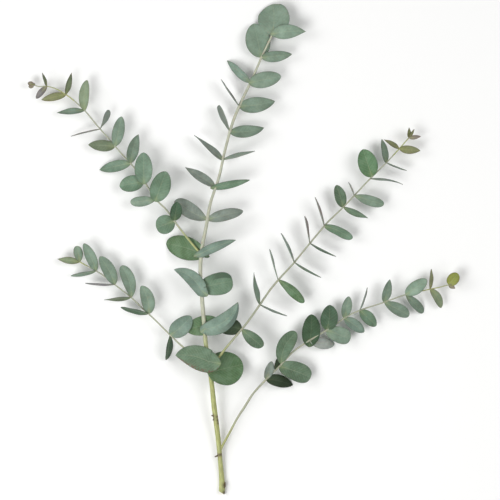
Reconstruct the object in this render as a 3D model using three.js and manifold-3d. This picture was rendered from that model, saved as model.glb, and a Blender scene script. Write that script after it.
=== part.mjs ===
// A cut branch of eucalyptus that lies on a flat surface: a leader with four side shoots, all in leaf.
// Millimetres, +Z up. The origin is on the surface, under the middle of the branch.
import * as THREE from "three";
import { mergeVertices } from "three/addons/utils/BufferGeometryUtils.js";
import Module from "manifold-3d";

const wasm = await Module();
wasm.setup();

// Driving dimensions.
// The branch was laid on a square sheet and measured from the sheet's top left corner: x to the right, y down.
const SHEET_MIDDLE = { x: 243.8, y: 249.3 };
const BLADE_THICKNESS = 0.7;
const ROOT_WIDTH = 1.6;
const TIP_WIDTH = 0.7;
const KEEL = 12; // degrees by which each half of a blade rises from its midrib
const ARCH = 0.06; // how far a blade bows up, as a share of its length
const BROAD_LEAF = 18; // a leaf as wide as this has more rows and columns
const SLIM_GRID = { rows: 5, columns: 2 };
const BROAD_GRID = { rows: 6, columns: 4 };
const RING_SPACING = 9;
const LEADER_SIDES = 8;
const SHOOT_SIDES = 6;
const TWIG_SIDES = 6;
const SEAT_GAP = 0.3; // between a shoot and the leader, and between a shoot and its young tip
const SINK = 0.25; // how far a blade that lies on its stem is sunk into it
const BUD_SIDES = { round: 10, along: 7 };
const SURFACE_SLAB = { across: 600, deep: 20 };
const SAMPLES_PER_POINT = 40; // places tried between two points of a stem when the nearest is looked for
const SMALL_STEP = 0.001; // of a curve's parameter, to measure its pace or its direction

// Blade outlines. widest is where along the blade it is widest; base and tip are 0.5 where that end is round and
// more where it is pointed.
const ROUND = { widest: 0.5, base: 0.5, tip: 0.5 };
const OVAL = { widest: 0.47, base: 0.58, tip: 0.6 };
const OVATE = { widest: 0.42, base: 0.55, tip: 0.85 };
const POINTED = { widest: 0.42, base: 0.75, tip: 1.1 };
const LANCE = { widest: 0.36, base: 0.8, tip: 1.4 };
const BLUNT = { widest: 0.58, base: 0.75, tip: 0.45 };
const SPOON = { widest: 0.7, base: 1, tip: 0.45 };
const BROAD = { widest: 0.62, base: 0.42, tip: 0.4 };

// A blade by its tip on the sheet, the tip's height, its width laid flat and how it is turned about its midrib in
// degrees: 0 shows its upper face, 90 stands on edge, past 90 shows its underside. Options: root is 1 where it
// grows from the top of its stem and -1 from underneath, setback is how far its base reaches back past the stem,
// sway bows it to its left, twist is added to its turn by the tip, and keel and arch replace the usual ones.
const USUAL = { root: 0, setback: 0, sway: 0, twist: 0, keel: KEEL, arch: ARCH };
const leaf = (x, y, height, width, turn, outline, options = {}) =>
  ({ x, y, height, width, turn, outline, ...USUAL, ...options });

// Leaves grow in pairs. A node is the place on the stem that a pair grows from.
const pair = (x, y, ...leaves) => ({ x, y, leaves });

// Each stem runs through [x, y, height, diameter]. A shoot starts on the leader's axis.
const LEADER = {
  points: [
    [221.5, 495, 2.6, 6], [222, 487, 2.6, 6], [221.4, 476, 3, 5], [220, 460, 5, 4.6], [219, 448, 6.8, 5],
    [216.8, 428, 9.8, 5], [214, 406, 13.2, 5], [212, 386, 16.8, 4.6], [209.2, 366, 20, 4.4], [206, 345, 21.6, 4.2],
    [204, 322, 22.5, 4.1], [202.2, 300, 22.9, 4], [200.4, 270, 22.7, 4], [202, 248, 22.2, 3.6], [206, 228, 20, 3.3],
    [210.5, 203, 17.5, 3], [219, 177, 15, 2.8], [225, 150, 13, 2.6], [233.5, 120, 11.4, 3], [242, 100, 10.6, 3],
    [252, 79, 9.8, 2.4], [262, 56, 9.2, 2.1], [273, 33, 8.8, 1.9],
  ],
  pairs: [
    pair(272.8, 33.5, leaf(273, 3.5, 5, 33.5, -18, ROUND, { root: -1, setback: 1, keel: 6, sway: -0.04 }),
      leaf(306, 31.5, 15, 15, 8, POINTED, { root: 1, setback: 2, keel: 8, sway: 0.04 })),
    pair(261.5, 57.5, leaf(254, 23, 5.5, 25, 8, OVAL, { root: -1, keel: 5, arch: 0.02 }),
      leaf(292, 54, 12, 13, 30, OVATE)),
    pair(249, 81.5, leaf(227, 60, 0.35, 12, -46, OVATE), leaf(281, 76, 12.5, 16.5, 8, OVAL, { root: 1, setback: 2 })),
    pair(239, 105.5, leaf(221, 79, 14, 11, 86, OVAL, { keel: 16, sway: 0.03 }),
      leaf(275, 101, 12.5, 16.5, -12, OVATE, { sway: -0.04 })),
    pair(229.5, 131.5, leaf(219, 105, 11, 12.5, -117, SPOON), leaf(264, 127.5, 11, 14, -25, OVATE, { sway: -0.06 })),
    pair(223, 159.5, leaf(194, 135, 12, 11.5, 36, OVAL, { twist: 50 }), leaf(255, 151, 16, 10, -115, POINTED)),
    pair(213.5, 186, leaf(185, 167, 10, 12, 35, POINTED),
      leaf(250, 180, 18.5, 9.5, 35, OVATE, { root: 1, setback: 5.5 })),
    pair(207, 219.5, leaf(176, 199.5, 11, 17, 20, BLUNT, { sway: 0.06 }), leaf(243, 211, 16, 13, -20, OVAL)),
    pair(201.7, 253.5, leaf(166, 243.5, 0.35, 24, -8, OVAL, { root: -1.1, setback: 5, sway: -0.03 }),
      leaf(236, 240, 25, 10, 5, OVATE, { root: 1, setback: 8, keel: 14, arch: 0.02, sway: 0.03 }), leaf(209.5, 257, 21, 5, 0, OVAL, { root: -1 })),
    pair(202, 291, leaf(174, 269.5, 22, 15.5, 4, OVATE, { root: 0.95, setback: 8, keel: 16, arch: 0.02, sway: -0.125 })),
    pair(201.2, 287, leaf(232.5, 281, 18, 23, 4, BROAD, { root: -1, setback: 1 })),
    pair(204.2, 325.5, leaf(186, 329.5, 17, 20, 4, OVAL, { root: -1, setback: 17 })),
    pair(204.5, 329, leaf(238, 302, 27, 18, 6, OVATE, { root: 1, setback: 5, sway: -0.15 })),
    pair(208.6, 361.5, leaf(175.5, 355.5, 15, 25.5, -8, OVATE, { root: 1, setback: 13, sway: -0.08 })),
    pair(209.6, 372, leaf(243, 364.5, 11.3, 36, -18, ROUND, { root: 1.24, setback: 3, keel: 2, arch: -0.06 })),
  ],
  twigs: [
    [[215, 416.5, 12, 1.6], [211.3, 415.6, 12.6, 1]],
    [[215, 419, 11.5, 1.6], [212.6, 420.4, 12, 1]],
    [[219, 455.5, 6, 1.6], [214.6, 457.4, 6.6, 0.9]],
    [[221.6, 489, 4, 1.4], [224.6, 487.5, 4.4, 1.2], [225, 482.5, 4.6, 0.8]],
  ],
};

const UPPER_LEFT = {
  points: [
    [201.8, 254.5, 22.4, 2.2], [197, 249.5, 22.6, 2.1], [189, 240, 22.6, 2], [178, 226, 21, 1.9], [166, 209.5, 19.4, 1.8],
    [156, 199.5, 18, 1.7], [145, 183, 16.5, 1.6], [132, 165, 15, 1.5], [120, 152, 14, 1.4], [109, 139, 13, 1.4],
    [97, 125.5, 12.2, 1.3], [85, 111, 11.5, 1.3], [72, 99, 10.8, 1.2], [62, 92, 10.4, 1.1], [54, 88, 10.2, 1.1],
    [46, 86, 10, 1], [38, 86.2, 10, 1], [33, 84.5, 10, 1],
  ],
  tipFrom: [74, 100.6],
  pairs: [
    pair(174, 221, leaf(177.5, 202, 24, 13, 22, OVAL, { root: 0.5 }), leaf(156.5, 228, 17.5, 19.5, 6, ROUND)),
    pair(155.5, 200, leaf(130.5, 202.5, 14, 11, -15, BLUNT), leaf(166, 171.5, 20, 20.5, 6, OVAL, { root: 1, setback: 2.5 })),
    pair(143.5, 181.5, leaf(119.5, 186, 11.5, 17, 10, OVAL, { root: -0.8 }),
      leaf(143.5, 152.5, 19, 18.5, -4, OVAL, { root: 1, setback: 3 })),
    pair(130.5, 163.3, leaf(99, 169.5, 0.35, 12, 12, OVATE), leaf(138.5, 134.5, 16, 13, 26, OVATE, { sway: 0.05 })),
    pair(115, 146.3, leaf(88, 144.5, 9, 12, -10, OVATE), leaf(121.5, 116.5, 15, 12.5, 8, OVAL)),
    pair(100, 129, leaf(70.5, 136, 6, 9, 82, OVAL), leaf(109, 110, 13, 10, 85, BLUNT, { twist: -45 })),
    pair(84.5, 110.5, leaf(56.5, 112.5, 9, 9, 42, POINTED), leaf(87, 80, 14, 10.5, 5, OVAL, { sway: 0.06 })),
  ],
  tipPairs: [
    pair(65.5, 94.6, leaf(41, 99.5, 7, 8.5, 15, OVATE), leaf(71.5, 72.5, 13.5, 8, 45, POINTED)),
    pair(46.5, 86, leaf(42, 72.5, 12.5, 6, 60, POINTED), leaf(35.5, 98, 6.5, 7, 25, OVAL)),
    pair(33.5, 84.7, leaf(27.6, 82.6, 11.5, 5, 12, ROUND), leaf(28.4, 87, 8.9, 4.5, -20, ROUND)),
  ],
  bud: { x: 31.8, y: 84.2, height: 10, length: 6.5, diameter: 4 },
};

const LOWER_LEFT = {
  points: [
    [209.3, 367.5, 17.8, 1.8], [204, 363.5, 17, 1.8], [194, 355.5, 16.4, 1.7], [184, 348, 15.5, 1.7],
    [170, 335, 14.5, 1.6], [155, 320, 13.2, 1.5], [143, 309, 12.3, 1.4], [131, 297.5, 11.5, 1.4],
    [116, 285.8, 10.8, 1.3], [105, 277, 10.3, 1.3], [95, 270.3, 10, 1.2], [86, 265.5, 9.8, 1.1],
    [78.5, 261.3, 9.6, 1.1],
  ],
  tipFrom: [87, 266],
  pairs: [
    pair(170, 335, leaf(191, 316, 22, 18.5, 8, OVAL, { root: 0.6, sway: -0.04 }),
      leaf(167, 359.5, 0.35, 13, -60, BLUNT)),
    pair(148.5, 314, leaf(120.5, 307.5, 9.5, 11, -62, OVAL),
      leaf(141, 286, 15, 14, 6, OVAL, { sway: -0.1 })),
    pair(131, 297.5, leaf(104, 300, 9, 10, -64, LANCE),
      leaf(121, 266, 14.5, 13.5, 5, BLUNT, { sway: -0.09 })),
    pair(114.5, 284.6, leaf(85, 283.3, 8, 9, -75, OVAL),
      leaf(99.5, 256.5, 13, 13.5, 8, OVAL, { sway: -0.05 })),
    pair(96, 271, leaf(70.5, 276, 7.5, 9, -62, OVAL),
      leaf(83.5, 243.5, 13, 11, 5, OVAL, { sway: -0.03 })),
  ],
  tipPairs: [
    pair(79.5, 261.8, leaf(57, 259, 8.5, 7.5, 15, POINTED), leaf(76.5, 246, 11, 10, 20, BLUNT)),
  ],
};

const UPPER_RIGHT = {
  points: [
    [209.8, 368, 20.2, 2.5], [214, 363.3, 21.2, 2.5], [219, 357, 22.2, 2.4], [227, 346.5, 24, 2.3],
    [236, 336, 23.6, 2.2], [246, 324, 21.4, 2.1], [259, 306, 17.6, 2], [270, 290, 15.6, 2], [281, 277, 14.6, 1.9],
    [293, 264, 14, 1.8], [304, 250.5, 13.5, 1.7], [316, 236, 13, 1.7], [328, 222, 12.6, 1.6], [341, 209.5, 12.3, 1.5],
    [354, 196, 12, 1.5], [367, 182, 12, 1.4], [379, 170, 12, 1.3], [389, 160, 12, 1.2], [400, 148, 12, 1.1],
    [410, 136.5, 12, 1],
  ],
  tipFrom: [393, 155.8],
  pairs: [
    pair(242, 329.5, leaf(214, 322, 20, 18, 0, ROUND, { root: -1, keel: 3, arch: 0 }),
      leaf(262.5, 346.8, 18, 14, 18, BLUNT)),
    pair(260, 304.5, leaf(254, 272.5, 19, 12, 64, LANCE, { sway: 0.05 }),
      leaf(287, 316, 15, 10, 85, OVAL, { keel: 20 })),
    pair(278.5, 280, leaf(269.5, 249, 17, 10, 86, SPOON, { keel: 18, sway: 0.02 }),
      leaf(303.5, 303, 11, 12.5, 38, BLUNT, { sway: 0.05 })),
    pair(294.5, 262.5, leaf(281, 233, 16, 10, 80, OVAL, { keel: 20 }), leaf(321, 277.5, 12, 10, 84, OVAL, { keel: 20 })),
    pair(310, 243.5, leaf(304.5, 216, 15.5, 10, 79, SPOON, { keel: 18 }), leaf(336, 256.5, 11.5, 10, 84, OVAL, { keel: 20 })),
    pair(324.5, 226, leaf(315, 197, 15, 10, 82, OVAL, { keel: 18 }),
      leaf(352, 239, 9.5, 11.5, 36, BROAD, { sway: 0.06 })),
    pair(343.5, 207.5, leaf(336.5, 185, 15, 13, 24, OVAL), leaf(368, 218, 9, 11, 55, POINTED)),
    pair(354.5, 195.5, leaf(348.5, 182, 14.5, 8, 86, OVAL, { keel: 18 }), leaf(384, 204.5, 9, 11.5, 22, BLUNT)),
    pair(372, 177, leaf(363, 149.3, 15, 20, 5, OVAL)),
    pair(370, 178.8, leaf(403, 184.5, 9.5, 9, 80, LANCE, { keel: 20, sway: 0.08 })),
    pair(386.5, 162.5, leaf(382, 139, 14.5, 10.5, 48, OVATE), leaf(407, 170.5, 9, 8, 86, OVAL, { keel: 18 })),
  ],
  tipPairs: [
    pair(399.5, 148.5, leaf(384.5, 139.5, 13, 8, 50, POINTED), leaf(420.5, 150.5, 10, 9, 20, OVATE)),
    pair(409, 137.6, leaf(409.3, 127.5, 14, 5, 40, POINTED), leaf(414.5, 129, 13, 4.5, 50, POINTED),
      leaf(421, 136.3, 10, 5, 30, OVATE)),
  ],
};

const LOWER_RIGHT = {
  points: [
    [219.3, 453.5, 6.3, 2.3], [222.5, 446, 7.3, 2.3], [229, 434, 8.3, 2.2], [237, 419, 9.3, 2.2],
    [245, 406.5, 10, 2.5], [253, 394, 10.5, 2.1], [262, 384, 10.8, 2], [271, 374.5, 11, 1.9], [280, 366, 11.2, 1.8],
    [293, 352, 11.4, 1.8], [306, 342.8, 11.5, 1.7], [320, 334.3, 11.5, 1.6], [335, 325, 11.3, 1.5],
    [347, 316.5, 11.2, 1.5], [360, 310.4, 11, 1.4], [377, 304.8, 10.8, 1.3], [392, 299.5, 10.6, 1.3],
    [406, 294.6, 10.4, 1.2], [420, 291.5, 10.2, 1.1], [430, 289.3, 10, 1.1], [441, 287, 9.8, 1], [450, 284.5, 9.7, 1],
  ],
  tipFrom: [423, 290.9],
  pairs: [
    pair(266, 379.5, leaf(272, 361.5, 13.5, 10, 25, OVAL),
      leaf(293, 385.5, 0.35, 14, -25, OVATE, { root: -1, sway: 0.03 })),
    pair(275.5, 370.5, leaf(278.5, 358.5, 12.5, 8, 45, BLUNT)),
    pair(281.5, 364.5, leaf(296.5, 332.5, 15, 17, 12, BLUNT, { sway: 0.13 })),
    pair(279.5, 366.5, leaf(310.5, 378, 9, 20, -8, BROAD, { sway: 0.03 })),
    pair(310, 340.5, leaf(311.5, 314.5, 9.5, 19, 6, OVAL, { root: -1, setback: 7, sway: -0.03 }),
      leaf(334.5, 344, 0.35, 12, -12, OVAL, { root: -1, sway: -0.05 })),
    pair(326.5, 330.5, leaf(329.5, 305, 15, 18, 4, OVAL, { root: -0.8, sway: -0.05 }),
      leaf(350.5, 339, 9, 17, -5, BROAD)),
    pair(344.5, 318.4, leaf(349, 296.5, 14, 11, 20, OVAL), leaf(364.5, 332, 8.5, 12, -18, OVAL)),
    pair(360, 310.5, leaf(367.5, 287.5, 14, 9, 82, OVAL, { keel: 18 }), leaf(376.5, 326, 7.5, 13, -20, OVAL)),
    pair(384.5, 302.5, leaf(390, 279.5, 14, 10.5, 28, OVATE), leaf(409.5, 315.5, 7, 13, -15, BLUNT)),
    pair(406, 294.5, leaf(427, 279.5, 13.5, 14, 12, OVAL), leaf(424, 312.5, 0.35, 10.5, -25, BLUNT)),
  ],
  tipPairs: [
    pair(430.5, 289.2, leaf(431.5, 269, 13.5, 9, 62, OVATE), leaf(441.5, 308, 6.5, 9.5, -25, OVAL, { sway: 0.08 })),
    pair(449, 284.8, leaf(458, 273.5, 12.5, 12, 0, ROUND), leaf(455.5, 288.5, 8.5, 5, 35, OVATE)),
  ],
};

const MATERIALS = {
  leaf: { color: 0x6e8a73, roughness: 0.6, metalness: 0 },
  youngLeaf: { color: 0x86905a, roughness: 0.55, metalness: 0 },
};

const UP = new THREE.Vector3(0, 0, 1);
const place = (x, y, height) => new THREE.Vector3(x - SHEET_MIDDLE.x, SHEET_MIDDLE.y - y, height);
const along = (start, direction, distance) => start.clone().addScaledVector(direction, distance);

// Meshes to solids and back.
function solidFrom(vertices, triangles) {
  const vertProperties = new Float32Array(vertices.flatMap((v) => [v.x, v.y, v.z]));
  return new wasm.Manifold(new wasm.Mesh({ numProp: 3, vertProperties, triVerts: new Uint32Array(triangles) }));
}

function solidFromGeometry(geometry) {
  geometry.deleteAttribute("normal");
  geometry.deleteAttribute("uv");
  const merged = mergeVertices(geometry);
  const vertProperties = new Float32Array(merged.attributes.position.array);
  const triVerts = new Uint32Array(merged.index.array);
  return new wasm.Manifold(new wasm.Mesh({ numProp: 3, vertProperties, triVerts }));
}

function geometryFrom(solid) {
  const { vertProperties, triVerts } = solid.getMesh();
  const geometry = new THREE.BufferGeometry();
  geometry.setAttribute("position", new THREE.BufferAttribute(new Float32Array(vertProperties), 3));
  geometry.setIndex(new THREE.BufferAttribute(new Uint32Array(triVerts), 1));
  geometry.computeVertexNormals();
  return geometry;
}

// The directions across a line: side is level and to the left of its travel, up is square to both.
function crossDirections(travel) {
  const side = new THREE.Vector3().crossVectors(UP, travel).normalize();
  const up = new THREE.Vector3().crossVectors(travel, side).normalize();
  return { side, up };
}

// A stem's axis, with its radius, its nearest place to a point of the sheet and the place a distance before
// another, all by the curve's own parameter.
function stemThrough(points) {
  const curve = new THREE.CatmullRomCurve3(points.map(([x, y, z]) => place(x, y, z)), false, "centripetal");
  const radiusAt = (t) => {
    const position = THREE.MathUtils.clamp(t, 0, 1) * (points.length - 1);
    const first = Math.min(Math.floor(position), points.length - 2);
    return THREE.MathUtils.lerp(points[first][3], points[first + 1][3], position - first) / 2;
  };
  const nearest = (x, y) => {
    const target = place(x, y, 0);
    const samples = SAMPLES_PER_POINT * points.length;
    let best = 0;
    let bestDistance = Infinity;
    for (let i = 0; i <= samples; i++) {
      const p = curve.getPoint(i / samples);
      const distance = Math.hypot(p.x - target.x, p.y - target.y);
      if (distance < bestDistance) [best, bestDistance] = [i / samples, distance];
    }
    return best;
  };
  const before = (t, distance) => {
    const pace = curve.getPoint(t).distanceTo(curve.getPoint(t - SMALL_STEP)) / SMALL_STEP;
    return t - distance / pace;
  };
  return { curve, radiusAt, nearest, before };
}

// A tapered round bar along a stem from one parameter to another, thicker than the stem by growth all round.
function bar(stem, from, to, sides, growth = 0) {
  const ends = [stem.curve.getPoint(from), stem.curve.getPoint(to)];
  const rings = Math.max(1, Math.round(ends[0].distanceTo(ends[1]) / RING_SPACING));
  const vertices = [];
  const triangles = [];
  for (let k = 0; k <= rings; k++) {
    const t = THREE.MathUtils.lerp(from, to, k / rings);
    const { side, up } = crossDirections(stem.curve.getTangent(t));
    const radius = stem.radiusAt(t) + growth;
    for (let j = 0; j < sides; j++) {
      const angle = (2 * Math.PI * (j + 0.5)) / sides;
      const onAxis = stem.curve.getPoint(t);
      vertices.push(along(along(onAxis, side, radius * Math.cos(angle)), up, radius * Math.sin(angle)));
    }
  }
  for (let k = 0; k < rings; k++) {
    for (let j = 0; j < sides; j++) {
      const [a, b] = [k * sides + j, k * sides + ((j + 1) % sides)];
      triangles.push(a, b, b + sides, a, b + sides, a + sides);
    }
  }
  const [startMiddle, endMiddle] = [vertices.length, vertices.length + 1];
  vertices.push(...ends);
  for (let j = 0; j < sides; j++) {
    const next = (j + 1) % sides;
    triangles.push(startMiddle, next, j, endMiddle, rings * sides + j, rings * sides + next);
  }
  return solidFrom(vertices, triangles);
}

// Half a blade's width at a share of its length.
function halfWidth(blade, share) {
  const { widest, base, tip } = blade.outline;
  const toEnd = share < widest ? 1 - share / widest : (share - widest) / (1 - widest);
  const full = (1 - toEnd ** 2) ** (share < widest ? base : tip);
  return Math.max(blade.width * full, THREE.MathUtils.lerp(ROOT_WIDTH, TIP_WIDTH, share)) / 2;
}

// The middle surface of a blade, a keeled strip about a bowed midrib. Nothing of it goes below the surface.
function bladeSurface(blade, stem, node, { rows, columns }) {
  const t = stem.nearest(node.x, node.y);
  const root = along(stem.curve.getPoint(t), UP, blade.root * (stem.radiusAt(t) - SINK));
  const tip = place(blade.x, blade.y, blade.height);
  const start = along(root, tip.clone().sub(root).normalize(), -blade.setback);
  const length = start.distanceTo(tip);
  const chord = tip.clone().sub(start).normalize();
  const chordDirections = crossDirections(chord);
  const midrib = (share) => {
    const reach = length - blade.setback;
    const past = Math.max(0, (share * length - blade.setback) / reach);
    const bow = 4 * past * (1 - past) * reach;
    const straight = start.clone().lerp(tip, share);
    return along(along(straight, chordDirections.up, blade.arch * bow), chordDirections.side, blade.sway * bow);
  };
  const points = [];
  for (let i = 0; i <= rows; i++) {
    const share = (1 - Math.cos((Math.PI * i) / rows)) / 2;
    const travel = midrib(share + SMALL_STEP).sub(midrib(share - SMALL_STEP)).normalize();
    const { side, up } = crossDirections(travel);
    const turn = THREE.MathUtils.degToRad(blade.turn + blade.twist * share);
    const across = side.clone().multiplyScalar(Math.cos(turn)).addScaledVector(up, Math.sin(turn));
    const normal = new THREE.Vector3().crossVectors(travel, across);
    const keel = THREE.MathUtils.degToRad(blade.keel);
    for (let j = 0; j <= columns; j++) {
      const offset = halfWidth(blade, share) * ((2 * j) / columns - 1);
      const level = along(midrib(share), across, offset * Math.cos(keel));
      const point = along(level, normal, Math.abs(offset) * Math.sin(keel));
      point.z = Math.max(point.z, BLADE_THICKNESS / 2);
      points.push(point);
    }
  }
  return points;
}

// A sheet of points thickened to both sides alike into a closed shell.
function thicken(points, { rows, columns }, thickness) {
  const at = (i, j) => i * (columns + 1) + j;
  const faces = [];
  for (let i = 0; i < rows; i++) {
    for (let j = 0; j < columns; j++) {
      faces.push([at(i, j), at(i + 1, j), at(i + 1, j + 1)], [at(i, j), at(i + 1, j + 1), at(i, j + 1)]);
    }
  }
  const normals = points.map(() => new THREE.Vector3());
  for (const [a, b, c] of faces) {
    const edge = points[b].clone().sub(points[a]);
    const faceNormal = edge.cross(points[c].clone().sub(points[a]));
    for (const corner of [a, b, c]) normals[corner].add(faceNormal);
  }
  const count = points.length;
  const upper = points.map((point, i) => along(point, normals[i].normalize(), thickness / 2));
  const lower = points.map((point, i) => along(point, normals[i], -thickness / 2));
  const triangles = faces.flatMap(([a, b, c]) => [a, b, c, a + count, c + count, b + count]);
  const wall = (a, b) => triangles.push(b, a, a + count, b, a + count, b + count);
  for (let i = 0; i < rows; i++) {
    wall(at(i, 0), at(i + 1, 0));
    wall(at(i + 1, columns), at(i, columns));
  }
  for (let j = 0; j < columns; j++) {
    wall(at(0, j + 1), at(0, j));
    wall(at(rows, j), at(rows, j + 1));
  }
  return solidFrom([...upper, ...lower], triangles);
}

function bladeSolid(blade, stem, node) {
  const grid = blade.width >= BROAD_LEAF ? BROAD_GRID : SLIM_GRID;
  return thicken(bladeSurface(blade, stem, node, grid), grid, BLADE_THICKNESS);
}

// A stem's length between two parameters, with its pairs of leaves fused to it.
function leafyStem(stem, from, to, sides, pairs) {
  const blades = pairs.flatMap((node) => node.leaves.map((blade) => bladeSolid(blade, stem, node)));
  return blades.reduce((whole, blade) => whole.add(blade), bar(stem, from, to, sides));
}

function twigSolid(points) {
  return bar(stemThrough(points), 0, 1, TWIG_SIDES);
}

// The closed bud at the end of a shoot, an egg that lies along it.
function budSolid({ x, y, height, length, diameter }) {
  const geometry = new THREE.SphereGeometry(diameter / 2, BUD_SIDES.round, BUD_SIDES.along);
  geometry.scale(length / diameter, 1, 1);
  const middle = place(x, y, height);
  geometry.translate(middle.x, middle.y, middle.z);
  return solidFromGeometry(geometry);
}

// The surface that the branch lies on, as a slab that trims a flat spot where the cut end rests.
function slabBelow() {
  const { across, deep } = SURFACE_SLAB;
  const geometry = new THREE.BoxGeometry(across, across, deep);
  geometry.translate(0, 0, -deep / 2);
  return solidFromGeometry(geometry);
}

const group = new THREE.Group();

function addNode(name, solid, look) {
  const material = new THREE.MeshStandardMaterial({ ...look, flatShading: true });
  const mesh = new THREE.Mesh(geometryFrom(solid), material);
  mesh.name = name;
  group.add(mesh);
}

const leaderStem = stemThrough(LEADER.points);
const leader = LEADER.twigs.reduce(
  (whole, points) => whole.add(twigSolid(points)),
  leafyStem(leaderStem, 0, 1, LEADER_SIDES, LEADER.pairs),
);
addNode("leader", leader.subtract(slabBelow()), MATERIALS.leaf);

// Each shoot is hollowed at its root to the leader's own round, and parted from its young tip.
const leaderRound = bar(leaderStem, 0, 1, LEADER_SIDES, SEAT_GAP);
const SHOOTS = {
  upper_left: UPPER_LEFT,
  lower_left: LOWER_LEFT,
  upper_right: UPPER_RIGHT,
  lower_right: LOWER_RIGHT,
};
for (const [name, shoot] of Object.entries(SHOOTS)) {
  const stem = stemThrough(shoot.points);
  const tipFrom = stem.nearest(...shoot.tipFrom);
  const body = leafyStem(stem, 0, stem.before(tipFrom, SEAT_GAP), SHOOT_SIDES, shoot.pairs);
  addNode(`${name}_shoot`, body.subtract(leaderRound), MATERIALS.leaf);
  const tip = leafyStem(stem, tipFrom, 1, SHOOT_SIDES, shoot.tipPairs);
  addNode(`${name}_tip`, shoot.bud ? tip.add(budSolid(shoot.bud)) : tip, MATERIALS.youngLeaf);
}

export default group;
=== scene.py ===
# %% [markdown]
# # A cut branch of eucalyptus
# The branch lies on a pale surface and is seen from straight above. It has one leader, the main stem, and
# four side shoots, all with leaves in opposite pairs. The imported solids hold the plan: where each stem runs,
# how high it stands and where each leaf points. A modifier could smooth them, but their blades have no midrib
# and no curl. So every stem and blade is made again here, fine, from the same measured lists and
# formulas as the solids, and stays where they are.

# %% Load the imported branch
import math
import random
from functools import partial

import bpy
import numpy as np
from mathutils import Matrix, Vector


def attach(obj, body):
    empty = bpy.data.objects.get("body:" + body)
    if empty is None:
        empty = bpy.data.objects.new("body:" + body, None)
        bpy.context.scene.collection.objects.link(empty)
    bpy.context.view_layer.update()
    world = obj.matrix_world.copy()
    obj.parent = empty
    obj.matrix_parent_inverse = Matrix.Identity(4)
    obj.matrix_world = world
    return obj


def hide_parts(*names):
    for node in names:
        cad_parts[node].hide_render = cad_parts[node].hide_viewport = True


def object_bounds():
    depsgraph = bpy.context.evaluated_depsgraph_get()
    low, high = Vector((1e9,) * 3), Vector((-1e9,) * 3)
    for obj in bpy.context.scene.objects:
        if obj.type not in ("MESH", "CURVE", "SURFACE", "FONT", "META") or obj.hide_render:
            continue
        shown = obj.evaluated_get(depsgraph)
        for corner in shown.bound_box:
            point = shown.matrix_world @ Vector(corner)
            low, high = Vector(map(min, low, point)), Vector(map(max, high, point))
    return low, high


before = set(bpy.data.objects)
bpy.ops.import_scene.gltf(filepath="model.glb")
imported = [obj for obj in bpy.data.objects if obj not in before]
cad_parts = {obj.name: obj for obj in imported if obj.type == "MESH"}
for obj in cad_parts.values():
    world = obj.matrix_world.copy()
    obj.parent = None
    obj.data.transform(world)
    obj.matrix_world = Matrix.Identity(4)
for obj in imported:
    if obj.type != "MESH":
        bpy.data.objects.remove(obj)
cad_low, cad_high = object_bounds()
print("solids:", sorted(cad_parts))
print("box in mm:", [round(v * 1000, 1) for v in (*cad_low, *cad_high)])

# %% [markdown]
# ## Millimetres on a sheet
# The branch was laid on a square sheet and measured from the sheet's top left corner, x to the right and y
# down, as one reads a picture. Blender wants metres about the branch's own middle, with y up. One function
# turns the first into the second. All shapes are worked out in millimetres with numpy, and become metres only
# when a mesh is made.

# %% Sheet and units
MM = 0.001
SHEET_MIDDLE = np.array([243.8, 249.3])
UP = np.array([0.0, 0.0, 1.0])


def on_branch(x, y, height):
    """A place on the sheet, in millimetres about the branch's middle."""
    return np.array([x - SHEET_MIDDLE[0], SHEET_MIDDLE[1] - y, height])


def unit(vectors):
    return vectors / np.linalg.norm(vectors, axis=-1, keepdims=True)


def directions_across(travel):
    """Level and to the left of a line's travel, and square to both."""
    side = unit(np.cross(UP, travel))
    return side, unit(np.cross(travel, side))


print("the sheet's middle is", on_branch(*SHEET_MIDDLE, 0))

# %% [markdown]
# ## The line of a stem
# A twig bends in one soft line. Blender's own curves would do, but the solids were swept along a centripetal
# Catmull-Rom curve, which passes through every measured point with no loops. The same curve in a few lines of
# numpy puts the fine stem exactly inside the solid one. A stem also knows how thick it is at each place, and
# which place on it is nearest to a point of the sheet, because that is where a pair of leaves grows.

# %% The stem's line
SAMPLES_PER_POINT = 40
SMALL_STEP = 0.001


class Stem:
    """A stem's line and thickness, from rows of x, y, height and diameter."""

    def __init__(self, points):
        self.points = np.array([on_branch(x, y, z) for x, y, z, _ in points])
        self.radii = np.array([diameter / 2 for *_, diameter in points])

    def at(self, t):
        """The point at a share t of the way along, from 0 at the foot to 1 at the tip."""
        last = len(self.points) - 1
        place = min(max(t, 0.0), 1.0) * last
        i = min(int(place), last - 1)
        share = place - i
        p1, p2 = self.points[i], self.points[i + 1]
        p0 = self.points[i - 1] if i else 2 * p1 - p2
        p3 = self.points[i + 2] if i + 2 <= last else 2 * p2 - p1
        d0, d1, d2 = (math.sqrt(np.linalg.norm(b - a)) for a, b in ((p0, p1), (p1, p2), (p2, p3)))
        m1 = ((p1 - p0) / d0 - (p2 - p0) / (d0 + d1) + (p2 - p1) / d1) * d1
        m2 = ((p2 - p1) / d1 - (p3 - p1) / (d1 + d2) + (p3 - p2) / d2) * d1
        bend = -3 * p1 + 3 * p2 - 2 * m1 - m2
        return p1 + m1 * share + bend * share**2 + (2 * p1 - 2 * p2 + m1 + m2) * share**3

    def radius(self, t):
        steps = np.linspace(0, 1, len(self.radii))
        return float(np.interp(t, steps, self.radii))

    def nearest(self, x, y):
        """The share of the way along at which the stem passes nearest to a point of the sheet."""
        target = on_branch(x, y, 0)[:2]
        samples = np.linspace(0, 1, SAMPLES_PER_POINT * len(self.points) + 1)
        return min(samples, key=lambda t: np.linalg.norm(self.at(t)[:2] - target))


print("samples for each measured point:", SAMPLES_PER_POINT)
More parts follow.
